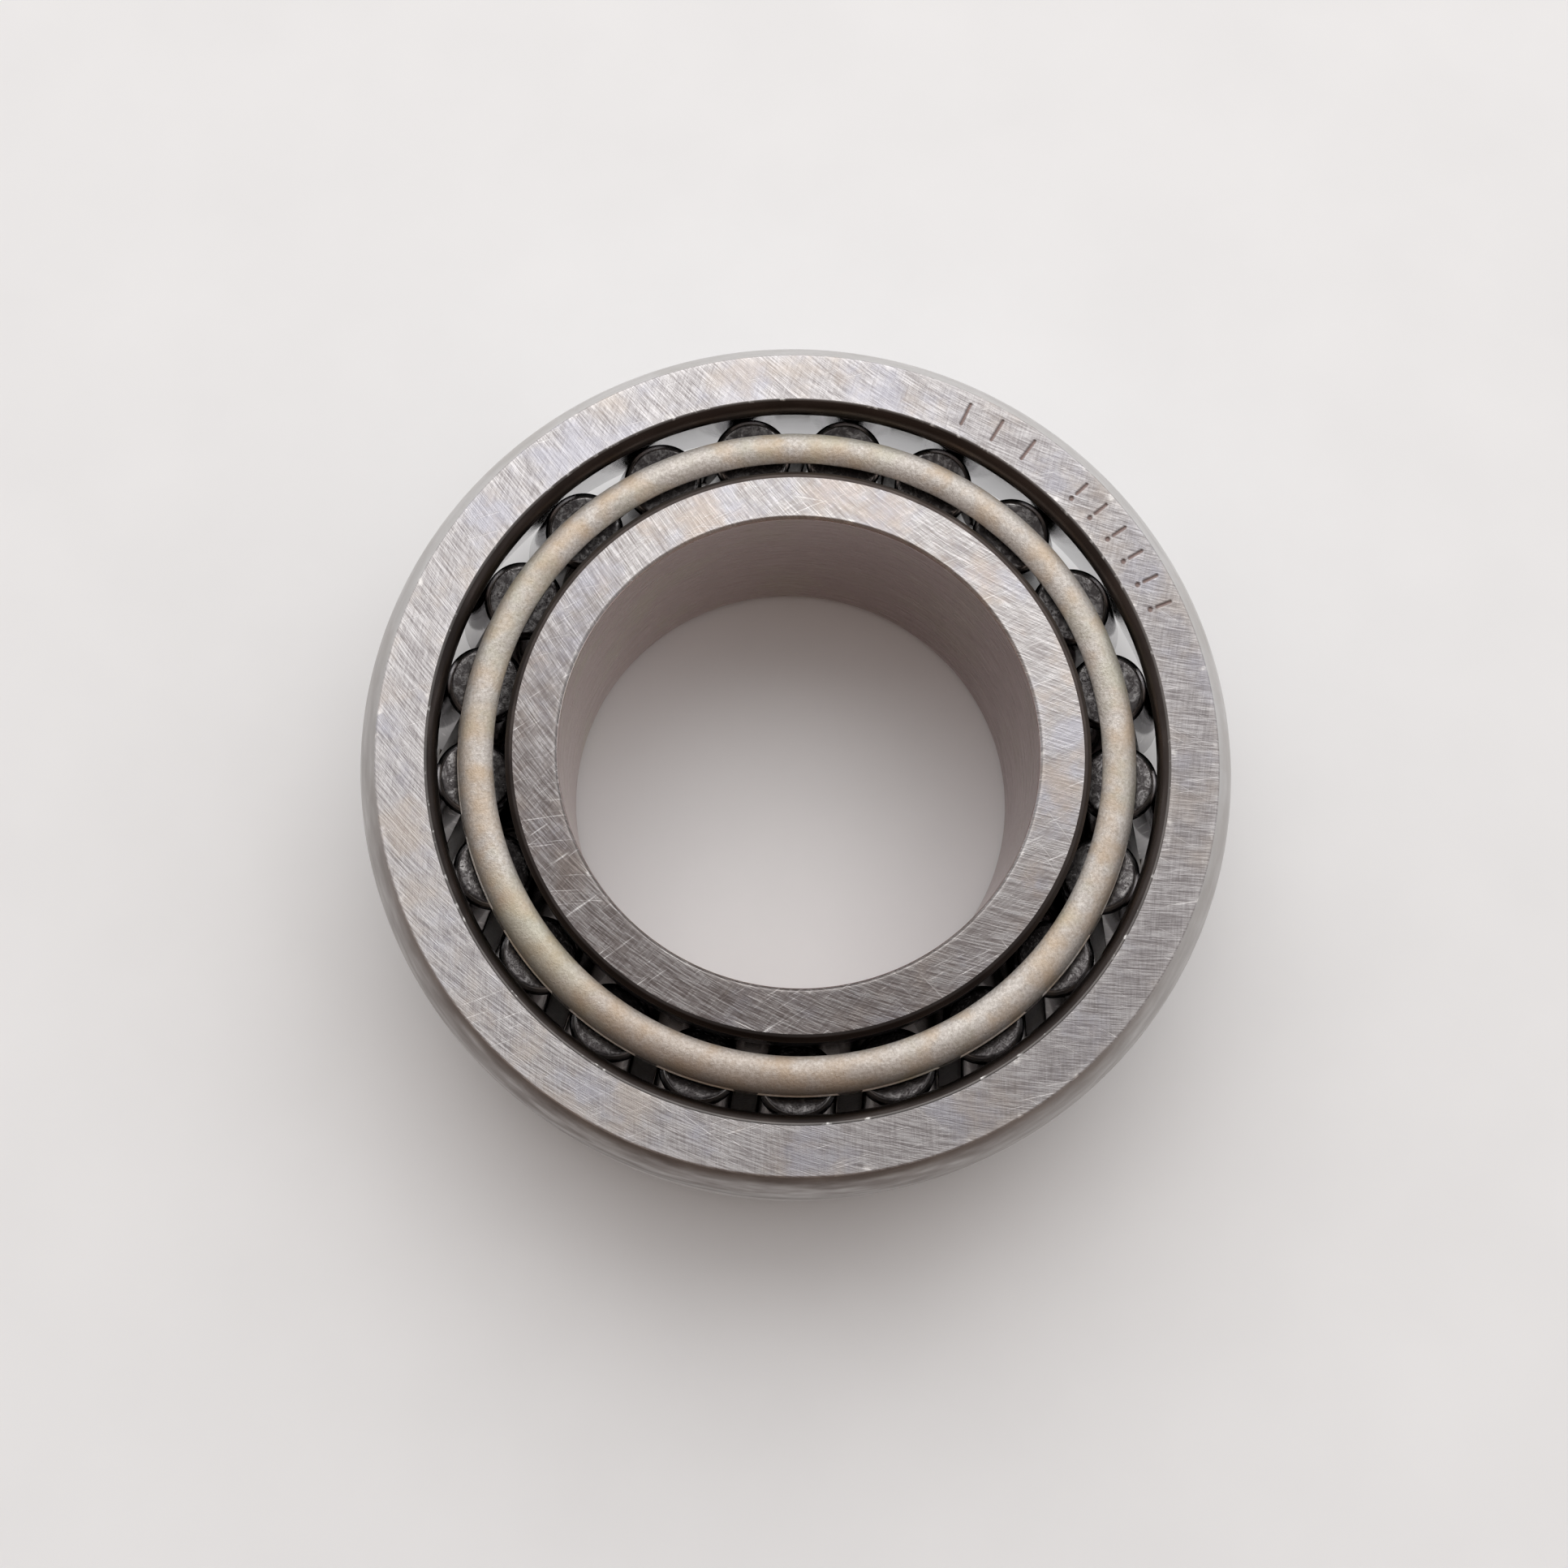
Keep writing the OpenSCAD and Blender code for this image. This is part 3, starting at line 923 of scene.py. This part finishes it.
# ---------------------------------------------------------------------------------------------
# Outer ring, the cup.  Bearing steel: faces, outside and raceway are ground.  The big outer corner
# and the rounded mouth are left as turned, and the mouth is dark from the furnace and painted
# darker still as the shade in the gap by the cage.  Plain tally marks are stamped in the back face.
# ---------------------------------------------------------------------------------------------
back_corner = 3.0
back_corner_depth = 2.47
front_corner = 0.8
mouth_round = 1.12
mouth_depth = 1.0
front_edge = 0.3
mark_depth = 0.06
mark_height = 1.7
mark_stroke = 0.2
mark_circle = 24.75
mark_slope = 0.09
tall_marks = np.radians([63.9, 58.6, 53.1])
short_marks = np.radians([43.2, 39.1, 34.8, 30.6, 26.4, 22.1])
marked_out, marked_in = 25.72, 23.78
marked_from, marked_to = 19.5, 66.5
marked_step, plain_step = 0.12, 0.9
outside_foot = 5.0
below_throat = 15.9

cup_face_steel = ground_face(
    "cup_face_steel",
    bright=(0.55, 0.53, 0.53),
    dark=(0.25, 0.23, 0.23),
    cool=(0.42, 0.42, 0.48),
    warm=(0.46, 0.40, 0.35),
    scratch=0.45,
    lays=[(-28.0, -0.0092), (82.0, 0.003), (-40.0, -0.004), (15.0, 0.002)],
    # Painted shade, darker towards the right of the face and a little to the near side.
    side_shade=((0.95, -0.31, 0.0), -6.0, 22.0, 0.6, (0.15, 0.135, 0.135)),
    smooth=0.30,
    stamped=True,
)
cup_outside_steel = ground_round(
    "cup_outside_steel",
    bright=(0.55, 0.53, 0.525),
    dark=(0.44, 0.415, 0.41),
    lines_per_mm=8.0,
    smooth=0.24,
    rough=0.33,
)
turned_corner_steel = ground_round(
    "turned_corner_steel",
    bright=(0.64, 0.63, 0.625),
    dark=(0.55, 0.54, 0.53),
    lines_per_mm=2.5,
    smooth=0.30,
    rough=0.40,
    tint=(0.50, 0.48, 0.46),
    # Painted shade, darker towards the near side of the corner.
    side_shade=((-0.25, -0.97, 0.0), -14.0, 24.0, 0.95, (0.17, 0.145, 0.135)),
)


def cup_track_radius(z):
    """The outer raceway's radius at a height: what is left up to the shared apex times the tangent
    of the contact angle, plus the running gap measured level."""
    return (apex - z) * np.tan(contact_angle) + running_gap / np.cos(contact_angle)


throat_height = width - mouth_depth
throat_radius = cup_track_radius(throat_height)
track_foot = [cup_track_radius(cup_front + front_edge), cup_front + front_edge]
foot_bevel = [track_foot[0] + front_edge, cup_front]
corner_turn = np.degrees(np.arcsin(back_corner_depth / back_corner))
corner_centre = [outer_radius - back_corner, width - back_corner_depth]
front_corner_centre = [outer_radius - front_corner, cup_front + front_corner]
before_bevel = [25.5, cup_front]
face_rim = corner_centre[0] + back_corner * np.cos(np.radians(corner_turn))
mouth_turn = 180 - np.degrees(np.arcsin(mouth_depth / mouth_round))
mouth_centre = [throat_radius + mouth_round, throat_height]
face_lip = mouth_centre[0] + mouth_round * np.cos(np.radians(mouth_turn))
back_arc = arc(corner_centre, back_corner, 0, corner_turn - 2, 18)
mouth_arc = arc(mouth_centre, mouth_round, mouth_turn + 4, 180, 14)
FACE, OUTSIDE, CORNER, TRACK, MOUTH = 0, 1, 2, 3, 4
cup_section, cup_finish, cup_edge = joined(
    [
        (corner(track_foot, foot_bevel, before_bevel, face_stone), FACE, 1),
        (arc(front_corner_centre, front_corner, 270, 360, 10), OUTSIDE, 0),
        (np.array([[outer_radius, outside_foot], [outer_radius, corner_centre[1] - 0.15]]), OUTSIDE, 0),
        (back_arc, CORNER, 0),
        (corner(back_arc[-1], [face_rim, width], [face_lip, width], face_stone), FACE, 1),
        (np.linspace([marked_out, width], [marked_in, width], 44), FACE, 0),
        (corner([face_rim, width], [face_lip, width], mouth_arc[0], face_stone), MOUTH, 1),
        (mouth_arc, MOUTH, 0),
        (np.array([[cup_track_radius(below_throat), below_throat]]), TRACK, 0),
        (corner([throat_radius, throat_height], track_foot, foot_bevel, face_stone), TRACK, 0),
    ]
)
cup_angles = np.radians(
    np.concatenate(
        [np.arange(marked_from, marked_to, marked_step), np.arange(marked_to, marked_from + 360, plain_step)]
    )
)
cup_grid = carried_round(cup_section, cup_angles)


def stroke_distance(x, y, angles, centre, half_length, half_width):
    """Distance from the nearest of some strokes that lie along the radius, with round ends.
    In a stroke's own axes it is the length of what is left past its ends and beside it, less half
    its width."""
    c = np.cos(angles)[:, None, None]
    s = np.sin(angles)[:, None, None]
    past = np.maximum(np.abs(x * c + y * s - centre) - half_length, 0)
    aside = y * c - x * s
    return (np.hypot(past, aside) - half_width).min(axis=0)


face_x, face_y = cup_grid[None, ..., 0], cup_grid[None, ..., 1]
half_stroke = mark_stroke / 2
dot_radius = mark_stroke * 0.8
strokes = [
    (tall_marks, mark_circle, mark_height / 2 - half_stroke, half_stroke),
    (short_marks, mark_circle + mark_height / 6, mark_height / 3 - half_stroke, half_stroke),
    (short_marks, mark_circle - mark_height / 2 + mark_stroke, 0.0, dot_radius),
]
nearest = np.minimum.reduce([stroke_distance(face_x, face_y, *stroke) for stroke in strokes])
# A mark's side falls away in an S: three times the square of t less twice its cube.
on_face = cup_grid[..., 2] > width - 1e-6
sunk = np.clip(0.5 - nearest / mark_slope, 0, 1)
sunk = sunk**2 * (3 - 2 * sunk) * on_face
cup_grid[..., 2] -= mark_depth * sunk

squares, triangles = grid_faces(len(cup_angles), len(cup_section), closed=True)
outer_ring = make_piece(
    "outer_ring",
    cup_grid,
    squares,
    triangles,
    np.tile(cup_finish, len(cup_angles)),
    [cup_face_steel, cup_outside_steel, turned_corner_steel, raceway_steel, furnace_dark_and_painted_shade_steel],
    {"edge": np.tile(cup_edge, len(cup_angles)), "stamped": sunk},
)
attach(outer_ring, "cup")
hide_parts("cup")
